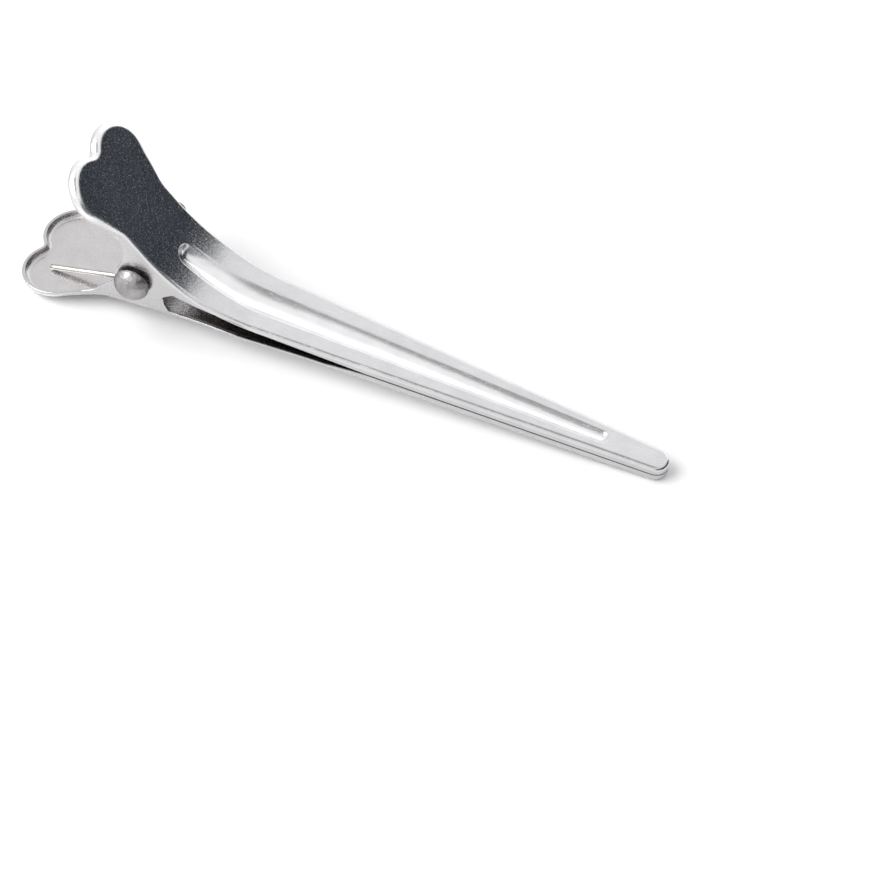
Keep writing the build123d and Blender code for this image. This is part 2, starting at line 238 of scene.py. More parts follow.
def resample(points, step, closed=False):
    """The same path with its points evenly spaced."""
    p = np.array(points, float)
    if closed:
        p = np.vstack([p, p[:1]])
    run = np.r_[0, np.cumsum(np.hypot(*np.diff(p, axis=0).T))]
    keep = np.r_[True, np.diff(run) > 1e-9]
    p, run = p[keep], run[keep]
    count = max(2, int(round(run[-1] / step)))
    at = np.linspace(0, run[-1], count + 1)
    made = np.stack([np.interp(at, run, p[:, 0]), np.interp(at, run, p[:, 1])], 1)
    return made[:-1] if closed else made


def plan_outline(half):
    """Plan of the whole half, closed: t ahead of the bend's corner and y. Anticlockwise."""
    root_round, shoulder_round = 30.0, 20.0
    lobe = half["thumb"] - LOBE_RADIUS
    ear = half["ear"]
    notch = lobe + sqrt((LOBE_RADIUS + NOTCH_RADIUS) ** 2 - LOBE_OFFSET ** 2)
    toward = atan2(-LOBE_OFFSET, notch - lobe)
    span = hypot(lobe - half["neck"], LOBE_OFFSET - ear)
    lean = atan2(LOBE_OFFSET - ear, lobe - half["neck"])
    leave = lean + pi - acos(LOBE_RADIUS / span)
    back = [(x, y) for x, y in arc((notch, 0), NOTCH_RADIUS, pi, pi + toward, 8)]
    back += arc((lobe, LOBE_OFFSET), LOBE_RADIUS, toward, leave, 60)[1:]
    side = rounded_path([(*back[-1], 0), (half["neck"], ear, NECK_RADIUS), (0, ear, 0)])
    back += side[1:-1]
    tip = TIP_REACH - TIP_RADIUS - half["corner"]
    root = (MARGIN, JAW_WIDTH / 2)
    reach = hypot(root[0] - tip, root[1])
    bearing = atan2(root[1], root[0] - tip) - acos(TIP_RADIUS / reach)
    front = arc((tip, 0), TIP_RADIUS, 0, bearing, 16)
    touch = front[-1]
    flank = [(*touch, 0), (*root, root_round), (0.5, ear, shoulder_round), (-4.0, ear, 0)]
    front += rounded_path(flank)[1:]
    far_side = front + [(-x, y) for x, y in reversed(back)]
    points = far_side + [(x, -y) for x, y in reversed(far_side[1:-1])]
    return resample(points, LOOP_STEP, closed=True)


def outward(loop):
    """Outward normals of a closed anticlockwise loop."""
    d = np.roll(loop, -1, 0) - np.roll(loop, 1, 0)
    n = np.stack([d[:, 1], -d[:, 0]], 1)
    return n / np.hypot(*n.T)[:, None]


def inside(points, loop):
    """Which points lie inside a closed loop."""
    x, y = points[:, 0][:, None], points[:, 1][:, None]
    x0, y0 = loop.T
    x1, y1 = np.roll(loop, -1, 0).T
    crosses = (y0 > y) != (y1 > y)
    rise = np.where(y1 == y0, 1, y1 - y0)
    at = x0 + (y - y0) * (x1 - x0) / rise
    return ((crosses & (x < at)).sum(1) % 2).astype(bool)


def gap_to(points, loop):
    """Distance from each point to the nearest point of a densely sampled loop."""
    batch = 4000
    made = np.zeros(len(points))
    for i in range(0, len(points), batch):
        d = points[i:i + batch, None, :] - loop[None]
        made[i:i + batch] = np.sqrt((d ** 2).sum(2).min(1))
    return made


def fill(rim, holes, creases, step):
    """Triangles that fill a rim but not its holes, with mesh lines along the creases."""
    clear = 0.6 * step
    loops = [rim] + holes + creases
    low, high = rim.min(0), rim.max(0)
    rows = np.arange(low[1], high[1], step * sqrt(3) / 2)
    columns = np.arange(low[0], high[0], step)
    grid = np.array([(x + (step / 2 if i % 2 else 0), y) for i, y in enumerate(rows) for x in columns])
    grid = grid[inside(grid, rim)]
    for hole in holes:
        grid = grid[~inside(grid, hole)]
    grid = grid[gap_to(grid, np.vstack(loops)) > clear]
    points = np.vstack(loops + [grid])
    edges, first = [], 0
    for loop in loops:
        count = len(loop)
        edges += [(first + i, first + (i + 1) % count) for i in range(count)]
        first += count
    result = delaunay_2d_cdt([Vector(p) for p in points.tolist()], edges, [], 0, 1e-5)
    verts, faces = np.array([v[:] for v in result[0]]), np.array(result[2])
    middle = verts[faces].mean(1)
    keep = inside(middle, rim)
    for hole in holes:
        keep &= ~inside(middle, hole)
    return verts, faces[keep]


# ------------------------------------------------------------------ relief of the sheet
def smooth(x):
    """0 below 0, 1 above 1, and a smooth rise between."""
    x = np.clip(x, 0, 1)
    return x * x * x * (x * (6 * x - 15) + 10)


def rise(x, start, run):
    """0 up to a start, then a smooth rise to 1 over a run."""
    return smooth((x - start) / run)


def channel_share(half, t, y):
    """0 on the middle line of the channel and 1 at its edge."""
    stations = (CHANNEL_REAR, CHANNEL_WIDE, CHANNEL_TIP)
    x = t + half["corner"]
    along = np.clip(x, CHANNEL_REAR[0], CHANNEL_TIP[0])
    wide = np.interp(along, [s[0] for s in stations], [s[1] for s in stations])
    return np.hypot(x - along, y) / wide


def channel_loop(half, share):
    """Closed loop in the plan where the channel's share has that value."""
    tip = arc((CHANNEL_TIP[0], 0), CHANNEL_TIP[1] * share, -pi / 2, pi / 2, 24)
    rear = arc((CHANNEL_REAR[0], 0), CHANNEL_REAR[1] * share, pi / 2, 3 * pi / 2, 24)
    far = [(CHANNEL_WIDE[0], CHANNEL_WIDE[1] * share)]
    near = [(CHANNEL_WIDE[0], -CHANNEL_WIDE[1] * share)]
    loop = resample(tip + far + rear + near, LOOP_STEP, closed=True)
    return loop - (half["corner"], 0)


def relief(half, t, y):
    """How far the outer face lies under its plain shape."""
    rng = np.random.default_rng(half["seed"])
    share = channel_share(half, t, y)
    bowl_end, lip_end, lip_rise = 0.9, 1.1, 4.75
    lip = lip_rise * np.maximum(lip_end - share, 0) ** 2
    bowl = np.where(share < bowl_end, 1 - share ** 2, lip)
    ease = 1 - CHANNEL_EASE * rise(t, *EASE_RISE)
    start, run = PLUNGE_RISE
    plunge = CHANNEL_PLUNGE * (1 - smooth((t + half["corner"] - CHANNEL_REAR[0] + start) / run))
    channel = (CHANNEL_DEPTH * ease + plunge) * bowl
    waves = np.zeros_like(t)
    for _ in range(WAVE_COUNT):
        length, turn, phase = rng.uniform(*WAVE_LENGTHS), rng.uniform(0, pi), rng.uniform(0, 2 * pi)
        k = 2 * pi / length
        waves += np.sin(k * (t * cos(turn) + y * sin(turn)) + phase) / k
    return channel + WAVE_SLOPE * waves


def corner_round(t):
    """Outside radius of the bend between web and flange."""
    a, b = ROUND_CHANGE
    return JAW_ROUND + (THUMB_ROUND - JAW_ROUND) * smooth((-t - a) / (b - a))


def flange_depth(half, t):
    """Depth of the flange or rim under the outer face."""
    x = t + half["corner"]
    start = min(half["corner"] + bend_run(half), PART_REACH - MARGIN)
    full = JAW_HEIGHT - JAW_GAP / 2
    jaw = np.interp(x, [start, PART_REACH], [FLANGE_BEND, full])
    return jaw + (RIM_DEPTH - jaw) * rise(-t, *RIM_RISE)


# ------------------------------------------------------------------ one face of the sheet
def place(half, t, y, depth, across, along, up):
    """Points and normals in the clip's frame from the plan, with normals in the sheet's own axes."""
    lean = slope_at(half, t)
    x, z = profile(half, t, depth)
    nx = along * np.cos(lean) + up * np.sin(lean)
    nz = -along * np.sin(lean) + up * np.cos(lean)
    p = np.stack([x, y, z], 1)
    n = np.stack([nx, across, nz], 1)
    return p, n / np.linalg.norm(n, axis=1)[:, None]


def web_normals(half, t, y, sin_round, out):
    """Normals of the web in the sheet's own axes, its rounded border included."""
    e = 0.02
    dt = (relief(half, t + e, y) - relief(half, t - e, y)) / (2 * e)
    dy = (relief(half, t, y + e) - relief(half, t, y - e)) / (2 * e)
    c = np.sqrt(1 - sin_round ** 2)
    return sin_round * out[:, 0] + c * dt, sin_round * out[:, 1] + c * dy, c


def ear_outline(half):
    """Cut edge of the ear in the side view, from the jaw's flange to the rim of the thumb piece."""
    def along_flange(t, depth, radius):
        x, z = profile(half, np.array(t), depth)
        return float(x), float(z), radius

    foot_round = 1.6
    first, last = (radians(angle) for angle in half["ear_arc"])
    depth = float(flange_depth(half, np.array(half["ear_front"]))) - CUT_ROUND
    path = [along_flange(half["ear_front"], depth, 0), *half["ear_turn"]]
    path += [(*p, 0) for p in arc((0, 0), EAR_RADIUS - CUT_ROUND, first, last, 40)]
    path += [half["ear_back"], along_flange(-half["ear_foot"], RIM_DEPTH - CUT_ROUND, foot_round)]
    path += [along_flange(-half["ear_rear"], RIM_DEPTH - CUT_ROUND, 0)]
    return rounded_path(path)


class Surface:
    """Points, normals and faces of an open surface while it is put together."""

    def __init__(self):
        self.points, self.normals, self.faces = [], [], []
        self.count = 0

    def add(self, points, normals):
        """Takes in more points and gives the number of the first of them."""
        first = self.count
        self.points.append(points)
        self.normals.append(normals)
        self.count += len(points)
        return first


def add_web(made, half, loop, out, radius):
    """The web of a half, from the foot of its rounded border to its middle line."""
    count = len(loop)
    rows = [(s, radius * (1 - s)) for s in BORDER_ROWS] + [(0, radius + BORDER_FLAT)]
    for k, (s, inset) in enumerate(rows):
        flat = loop - out * inset[:, None]
        t, y = flat.T
        depth = radius - radius * sqrt(1 - s ** 2) + relief(half, t, y)
        along, across, up = web_normals(half, t, y, np.full(count, float(s)), out)
        first = made.add(*place(half, t, y, depth, across, along, up))
        before = first - count
        for i in range(count if k else 0):
            j = (i + 1) % count
            made.faces.append((before + i, before + j, first + j, first + i))
    creases = [channel_loop(half, share) for share in CHANNEL_CREASES]
    flat, tris = fill(flat, [], creases, FILL_STEP)
    t, y = flat.T
    along, across, up = web_normals(half, t, y, np.zeros(len(flat)), np.zeros_like(flat))
    first = made.add(*place(half, t, y, relief(half, t, y), across, along, up))
    made.faces += [tuple(first + i for i in f) for f in tris.tolist()]


def add_flange(made, half, loop, out, radius, in_ear):
    """The flanges and rims below the rounded border, left out at the ears. Gives their rows of points."""
    least = 0.03
    count = len(loop)
    t, y = loop.T
    top = radius + relief(half, t, y)
    height = np.maximum(flange_depth(half, t) - CUT_ROUND, top + least) - top
    rows = []
    for k in range(FLANGE_ROWS + 1):
        depth = top + height * k / FLANGE_ROWS
        rows.append(place(half, t, y, depth, out[:, 1], out[:, 0], np.zeros(count)))
    base = made.count
    for row in rows:
        made.add(*row)
    for i in range(count):
        j = (i + 1) % count
        if in_ear[i] or in_ear[j]:
            continue
        for k in range(FLANGE_ROWS):
            a = base + k * count
            made.faces.append((a + count + i, a + count + j, a + j, a + i))
    return rows


def ear_border(half, rows, span):
    """Closed anticlockwise border of an ear in the side view: the flange's rows and the cut edge."""
    sides = [points[span][:, [0, 2]] for points, _ in rows]
    top = sides[0].tolist()
    front = [side[0].tolist() for side in sides[1:]]
    rear = [side[-1].tolist() for side in sides[1:]]
    cut = resample([front[-1], *ear_outline(half)[1:-1], rear[-1]], LOOP_STEP).tolist()
    border = np.array(top + rear[:-1] + cut[::-1] + front[:-1][::-1])
    x, z = border.T
    area = np.sum(x * np.roll(z, -1) - np.roll(x, -1) * z) / 2
    return border[::-1] if area < 0 else border


def add_ear(made, half, loop, rows, in_ear, side):
    """One ear with the rivet's hole: flat below, and joined to the flange's rows above."""
    count = len(loop)
    t, y = loop.T
    mine = np.where(in_ear & (y * side > 0))[0][::side]
    span = [(mine[0] - side) % count, *mine, (mine[-1] + side) % count]
    radius = RIVET_RADIUS + RIVET_PLAY + CUT_ROUND
    hole = np.array(arc((0, 0), radius, 0, 2 * pi, 36)[:-1])
    flat, tris = fill(ear_border(half, rows, span), [hole], [], FILL_STEP)
    along, depth = unprofile(half, flat[:, 0], flat[:, 1])
    order = np.argsort(t[span])
    flange_y = np.interp(along, t[span][order], np.abs(y[span])[order])
    near = 1 - rise(depth, *EAR_BEND)
    ear_y = half["ear"] + (flange_y - half["ear"]) * near
    p = np.stack([flat[:, 0], side * ear_y, flat[:, 1]], 1)
    n = np.tile((0.0, float(side), 0.0), (len(p), 1))
    known = np.vstack([points for points, _ in rows])
    known_normals = np.vstack([normals for _, normals in rows])
    for i, q in enumerate(p):
        gap = np.abs(known - q).sum(1)
        nearest = int(gap.argmin())
        if gap[nearest] < SAME_POINT:
            p[i], n[i] = known[nearest], known_normals[nearest]
    first = made.add(p, n)
    for f in tris.tolist():
        a, b, c = flat[f]
        turn = (b[0] - a[0]) * (c[1] - a[1]) - (b[1] - a[1]) * (c[0] - a[0])
        if (turn > 0) == (side > 0):
            f = f[::-1]
        made.faces.append(tuple(first + i for i in f))


def outer_face(half):
    """The outside of a half, up to its cut edges: points, normals and faces."""
    middle_strip = 3.0
    loop = plan_outline(half)
    out = outward(loop)
    t, y = loop.T
    radius = corner_round(t)
    in_ear = (t < half["ear_front"]) & (t > -half["ear_rear"]) & (np.abs(y) > middle_strip)
    made = Surface()
    add_web(made, half, loop, out, radius)
    rows = add_flange(made, half, loop, out, radius, in_ear)
    for side in (1, -1):
        add_ear(made, half, loop, rows, in_ear, side)
    return weld(np.vstack(made.points), np.vstack(made.normals), made.faces)


def weld(points, normals, faces):
    """The same faces with points that coincide made one."""
    keys, remap, kept = {}, np.zeros(len(points), int), []
    for i, p in enumerate(np.round(points, 4).tolist()):
        key = tuple(p)
        if key not in keys:
            keys[key] = len(kept)
            kept.append(i)
        remap[i] = keys[key]
    made = []
    for f in faces:
        g = [int(remap[i]) for i in f]
        g = [v for i, v in enumerate(g) if v != g[i - 1]]
        if len(set(g)) == len(g) and len(g) > 2:
            made.append(tuple(g))
    used = sorted({i for f in made for i in f})
    new = {v: i for i, v in enumerate(used)}
    rows = [kept[v] for v in used]
    return points[rows], normals[rows], [tuple(new[i] for i in f) for f in made]


def shell(points, normals, faces, thickness):
    """A closed sheet: the face, its other side, and a rounded cut edge between them."""
    count = len(points)
    directed = {(f[i], f[(i + 1) % len(f)]) for f in faces for i in range(len(f))}
    border = [(a, b) for a, b in directed if (b, a) not in directed]
    out = {}
    for a, b in border:
        d = points[b] - points[a]
        for v in (a, b):
            e = np.cross(d, normals[v])
            out[v] = out.get(v, 0) + e / (np.linalg.norm(e) + 1e-12)
    edge = sorted(out)
    e = np.array([out[v] / np.linalg.norm(out[v]) for v in edge])
    p, n = points[edge], normals[edge]
    all_p = [points, points - thickness * normals]
    all_n = [normals, -normals]
    starts = []
    angles = (30, 60, 90)
    for side, order in ((1, angles), (-1, angles[::-1])):
        for a in order:
            s, c = sin(radians(a)), cos(radians(a))
            level = -CUT_ROUND * (1 - c) if side > 0 else -thickness + CUT_ROUND * (1 - c)
            all_p.append(p + CUT_ROUND * s * e + level * n)
            all_n.append(side * c * n + s * e)
            starts.append(2 * count + len(starts) * len(edge))
    place_in = {v: i for i, v in enumerate(edge)}
    made = list(faces) + [tuple(count + i for i in reversed(f)) for f in faces]
    for a, b in border:
        i, j = place_in[a], place_in[b]
        left = [a] + [s + i for s in starts] + [count + a]
        right = [b] + [s + j for s in starts] + [count + b]
        for k in range(len(left) - 1):
            made.append((right[k], left[k], left[k + 1], right[k + 1]))
    return np.vstack(all_p), np.vstack(all_n), made


# ------------------------------------------------------------------ from the clip's frame to the row's
def end_of_thumb(half):
    """X, Z of the outer face at the end of a thumb piece."""
    a = radians(half["angle"])
    return half["corner"] - half["thumb"] * cos(a), outer_z(half) + half["thumb"] * sin(a)


def clip_tilt():
    """Lean of the clip as it lies on its lower thumb piece and its jaw tip."""
    x, z = end_of_thumb(LOWER)
    return atan2(z - outer_z(LOWER), TIP_REACH - x)


def pivot_point():
    """The pivot axis in the row's frame, from the middle of the rivet and the width of the clip."""
    low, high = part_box("rivet")
    mid_y = low.y + (HEAD_STANDOFF + HEAD_LIP + HEAD_HEIGHT + EAR_SPAN / 2) * 0.001
    return np.array([(low.x + high.x) / 2, mid_y, (low.z + high.z) / 2])


def turned(vectors):
    """Vectors turned as the clip leans."""
    a = clip_tilt()
    x, y, z = vectors.T
    return np.stack([x * cos(a) + z * sin(a), y, -x * sin(a) + z * cos(a)], 1)


def to_row(points):
    """Points in metres in the row's frame."""
    return turned(points) * 0.001 + pivot_point()


def make_piece(name, points, normals, faces, extra=()):
    """A smooth-shaded mesh object from points in the clip's frame, with any extra point values."""
    mesh = bpy.data.meshes.new(name)
    mesh.from_pydata(to_row(points).tolist(), [], faces)
    mesh.validate()
    mesh.polygons.foreach_set("use_smooth", [True] * len(mesh.polygons))
    if normals is not None:
        mesh.normals_split_custom_set_from_vertices(turned(normals).tolist())
    for key, values in extra:
        layer = mesh.attributes.new(key, "FLOAT", "POINT")
        layer.data.foreach_set("value", np.asarray(values, np.float32))
    thing = bpy.data.objects.new(name, mesh)
    bpy.context.scene.collection.objects.link(thing)
    return thing


def sheet_tones(half, points, normals, count):
    """Point values that tone the metal: painted shade inside the jaw, on its cut edges and on the walls,
    painted highlights on the lobes' rims and the channel's floor, and a darker inside of the thumb pieces.
    The outside is the first count points, the inside the next.
    """
    t, _ = unprofile(half, points[:, 0], points[:, 2])
    lean = slope_at(half, t)
    facing = normals[:, 0] * np.sin(lean) + normals[:, 2] * np.cos(lean)
    number = np.arange(len(points))
    inner = ((number >= count) & (number < 2 * count)).astype(float)
    cut = (number >= 2 * count).astype(float)
    # painted shade on the cut edges inside the jaw, where the two jaws meet
    cut_shade_in_jaw = CUT_SHADE_SHARE * cut * rise(t, *CUT_SHADE_RISE)
    # painted highlight on the rounded rim of the lobes
    lobe_rim_highlight = rise(facing, *RIM_HIGHLIGHT_START) * (1 - rise(facing, *RIM_HIGHLIGHT_END)) * rise(-t, *LOBE_HIGHLIGHT_RISE)
    end, run = GROOVE_HIGHLIGHT_FALL
    # painted highlight on the floor of the channel
    groove_highlight = GROOVE_HIGHLIGHT_SHARE * smooth((end - channel_share(half, t, points[:, 1])) / run) * (facing > OUTSIDE)
    return [
        # painted shade inside the jaw and in the gap between the jaws
        ("painted_gap_shade", np.maximum(inner * rise(t, *GAP_SHADE_RISE), cut_shade_in_jaw)),
        ("inner_thumb", inner * rise(-t, *INNER_THUMB_RISE)),
        # dims everything but the painted highlights on the lobes' rims and the channel's floor
        ("plain", 1 - np.maximum(lobe_rim_highlight, groove_highlight) * (1 - inner)),
        # painted shade on the walls, by how they face
        ("painted_wall_shade", (1 - inner) * (1 - rise(facing, *WALL_SHADE_RISE))),
    ]


def make_half(half):
    """A whole stamped half as one closed sheet."""
    points, normals, faces = outer_face(half)
    count = len(points)
    points, normals, faces = shell(points, normals, faces, SHEET)
    tones = sheet_tones(half, points, normals, count)
    if half["sign"] < 0:
        points = points * (1, 1, -1)
        normals = normals * (1, 1, -1)
        faces = [f[::-1] for f in faces]
    return make_piece(half["name"] + "_sheet", points, normals, faces, tones)


# ------------------------------------------------------------------ rivet and spring
def lathe(name, section, steps, wobble):
    """A turned piece about the pivot axis from (radius, y) points, knocked out of true by a wobble."""
    rows = []
    rng = np.random.default_rng(5)
    phases = rng.uniform(0, 2 * pi, 3)
    for r, y in section:
        a = np.linspace(0, 2 * pi, steps, endpoint=False)
        w = wobble * (np.sin(2 * a + phases[0] + y) + 0.6 * np.sin(3 * a + phases[1] + 2 * r)
                      + 0.4 * np.sin(5 * a + phases[2] + 3 * r))
        radius = r * (1 + w * 0.3)
        rows.append(np.stack([radius * np.cos(a), y + w * min(r, 1.0), radius * np.sin(a)], 1))
    faces = []
    for k in range(len(section) - 1):
        for i in range(steps):
            j = (i + 1) % steps
            faces.append((k * steps + i, k * steps + j, (k + 1) * steps + j, (k + 1) * steps + i))
    faces.append(tuple(range(steps))[::-1])
    last = (len(section) - 1) * steps
    faces.append(tuple(last + i for i in range(steps)))
    return make_piece(name, np.vstack(rows), None, faces)


def rivet_head():
    """(radius, y) points of the low domed head, from its top to the shank."""
    under = -EAR_SPAN / 2 - HEAD_STANDOFF
    top = under - HEAD_LIP - HEAD_HEIGHT
    dome = (HEAD_RADIUS ** 2 + HEAD_HEIGHT ** 2) / (2 * HEAD_HEIGHT)
    made = [(0.02, top)]
    for i in range(1, 25):
        a = i / 24 * asin(0.985 * HEAD_RADIUS / dome)
        made.append((dome * sin(a), top + dome * (1 - cos(a))))
    brim = made[-1][1]
    made += [(HEAD_RADIUS - 0.005, brim + 0.09), (HEAD_RADIUS, brim + 0.2), (HEAD_RADIUS, under - 0.15)]
    made += [(HEAD_RADIUS - 0.03, under - 0.05), (HEAD_RADIUS - 0.1, under - 0.01)]
    made += [(HEAD_RADIUS - 0.2, under), (RIVET_RADIUS + 0.25, under)]
    return made + [(RIVET_RADIUS + 0.05, under + 0.05), (RIVET_RADIUS, under + 0.2)]


def rivet_tail():
    """(radius, y) points of the hollow tail, from the shank round its mouth to the bottom of its bore."""
    end = EAR_SPAN / 2 + TAIL_PROUD
    bottom = end - TAIL_BORE_DEPTH
    mouth = (TAIL_RADIUS - TAIL_BORE_RADIUS) / 2
    made = [(TAIL_RADIUS, EAR_SPAN / 2 + TAIL_TAPER), (TAIL_RADIUS, end - 0.3)]
    made += arc((TAIL_RADIUS - mouth, end - mouth), mouth, 0, pi, 8)
    made += [(TAIL_BORE_RADIUS, bottom + 0.3), (TAIL_BORE_RADIUS - 0.1, bottom + 0.1)]
    return made + [(0.4, bottom), (0.02, bottom)]


def make_rivet():
    """Semi-tubular rivet with a low domed head and a hollow tail."""
    shank = [(RIVET_RADIUS, -3.0), (RIVET_RADIUS, 3.0), (RIVET_RADIUS, EAR_SPAN / 2)]
    return lathe("rivet_turned", rivet_head() + shank + rivet_tail(), LATHE_STEPS, 0.012)


def inner_point(half, reach, lift):
    """Point a lift inside the sheet of a thumb piece, at a reach from the pivot axis."""
    t = np.linspace(0, -half["thumb"], 4000)
    x, z = profile(half, t, SHEET + lift)
    i = int(np.argmin(np.abs(np.hypot(x, z) - reach)))
    return float(x[i]), float(z[i])


def spring_path():
    """Middle line of the spring's wire, from leg to leg."""
    ends = []
    for sign, half in ((-1, LOWER), (1, UPPER)):
        x, z = inner_point(half, LEG_REACH, WIRE_RADIUS + LEG_TOUCH)
        bearing = atan2(sign * z, x) - sign * acos(COIL_RADIUS / hypot(x, z))
        ends.append((bearing, np.array([x, sign * LEG_SPREAD, sign * z])))
    (a0, low), (a1, high) = ends
    turn = COIL_TURNS * 2 * pi + (a1 - a0) % (2 * pi)
    made = []
    steps = COIL_TURNS * TURN_STEPS
    foot = np.array([COIL_RADIUS * cos(a0), -LEG_SPREAD, COIL_RADIUS * sin(a0)])
    for i in range(LEG_STEPS):
        made.append(low + (foot - low) * i / LEG_STEPS)
    for i in range(steps + 1):
        s = i / steps
        a = a0 + turn * s
        made.append(np.array([COIL_RADIUS * cos(a), -LEG_SPREAD + 2 * LEG_SPREAD * s, COIL_RADIUS * sin(a)]))
    foot = made[-1]
    for i in range(1, LEG_STEPS + 1):
        made.append(foot + (high - foot) * i / LEG_STEPS)
    return np.array(made)


def wire_ring(centre, across, up, radius):
    """Points round the wire at one place along it."""
    a = np.linspace(0, 2 * pi, WIRE_SIDES, endpoint=False)
    return centre + radius * (np.cos(a)[:, None] * across + np.sin(a)[:, None] * up)


def make_spring():
    """One length of round wire with square-cut ends, their sharp edge just broken."""
    end_share, end_run = 0.9, 0.04
    path = spring_path()
    last = len(path) - 1
    tangent = np.gradient(path, axis=0)
    tangent /= np.linalg.norm(tangent, axis=1)[:, None]
    u = np.cross(tangent[0], (0, 1, 0))
    u /= np.linalg.norm(u)
    rings = []
    for k, centre in enumerate(path):
        u = u - tangent[k] * (u @ tangent[k])
        u /= np.linalg.norm(u)
        v = np.cross(tangent[k], u)
        if k == 0:
            rings.append(wire_ring(centre, u, v, WIRE_RADIUS * end_share))
            rings.append(wire_ring(centre + end_run * tangent[k], u, v, WIRE_RADIUS))
        elif k == last:
            rings.append(wire_ring(centre - end_run * tangent[k], u, v, WIRE_RADIUS))
            rings.append(wire_ring(centre, u, v, WIRE_RADIUS * end_share))
        else:
            rings.append(wire_ring(centre, u, v, WIRE_RADIUS))
    faces = []
    for k in range(len(rings) - 1):
        here, ahead = k * WIRE_SIDES, (k + 1) * WIRE_SIDES
        for i in range(WIRE_SIDES):
            j = (i + 1) % WIRE_SIDES
            faces.append((here + j, here + i, ahead + i, ahead + j))
    end = (len(rings) - 1) * WIRE_SIDES
    faces.append(tuple(range(WIRE_SIDES)))
    faces.append(tuple(end + i for i in range(WIRE_SIDES))[::-1])
    return make_piece("spring_wire", np.vstack(rings), None, faces)


# ------------------------------------------------------------------ materials
# A scale is that of a pattern's noise, per metre, and a range the part of the noise that is spread out.
PATCH_SCALE = 330                # slow change of tint
PATCH_RANGE = (0.35, 0.65)
FROST_SCALE = 3900               # frosting, which changes the roughness
FROST_RANGE = (0.3, 0.7)
FROST_SPREAD = (0.55, 1.5)       # least and most, as shares of a metal's roughness
GRAIN_SCALE = 6500               # finest grain of the surface
GRAIN_HEIGHT = 0.5               # heights count in BUMP_HEIGHT
GRIT_SCALE = 2100                # fine unevenness
GRIT_HEIGHT = 2.6
DENT_SCALE = 620                 # shallow dents
SCRATCHES = ((0.5, 5200, 0.66), (-0.9, 4300, 0.68), (1.7, 6100, 0.68))    # bearing, scale, level
SCRATCH_STRETCH = 0.02           # a scratch's width over its length
SCRATCH_EDGE = 0.06
SCRATCH_DEPTH = 0.5
SCRATCH_ROUGHNESS = 0.12
BUMP_STRENGTH = 0.2
BUMP_HEIGHT = 0.00004            # metres


def node(tree, kind, **values):
    """A new shader node with its settings."""
    made = tree.nodes.new(kind)
    for key, value in values.items():
        setattr(made, key, value)
    return made


